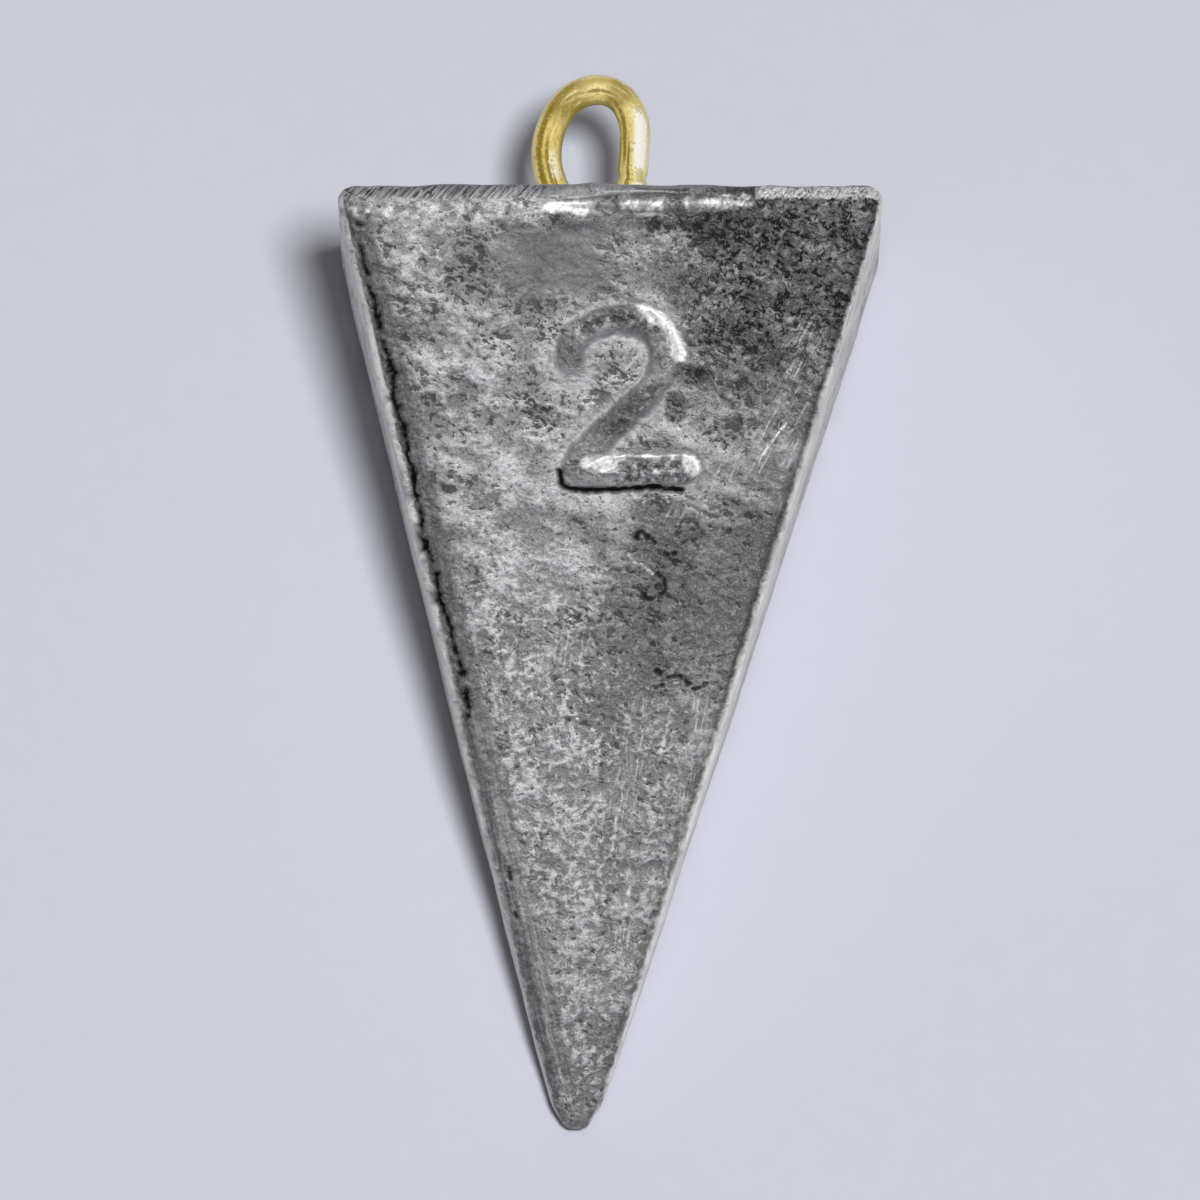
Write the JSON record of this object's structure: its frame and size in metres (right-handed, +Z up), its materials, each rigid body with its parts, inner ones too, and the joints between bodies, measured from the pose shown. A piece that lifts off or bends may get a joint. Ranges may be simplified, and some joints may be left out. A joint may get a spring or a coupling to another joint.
{
  "type": "fishing sinker",
  "caption": "Cast pyramid fishing sinker with flat sloping sides, a blunt tip and a bent wire eye in its square top for tying it to a line.",
  "frame": {"origin": "on the surface that the sinker lies on, under the middle of its width and of its whole length with the eye", "axes": "+X across the casting, +Y from the tip towards the eye, +Z up from the back face that it lies on"},
  "size_m": [0.0199, 0.0379, 0.0193],
  "materials": {
    "cast_lead": "satin",
    "brass_wire": "gloss"
  },
  "bodies": {
    "root": {"lead_body": "cast_lead", "wire_eye": "brass_wire"}
  },
  "joints": []
}
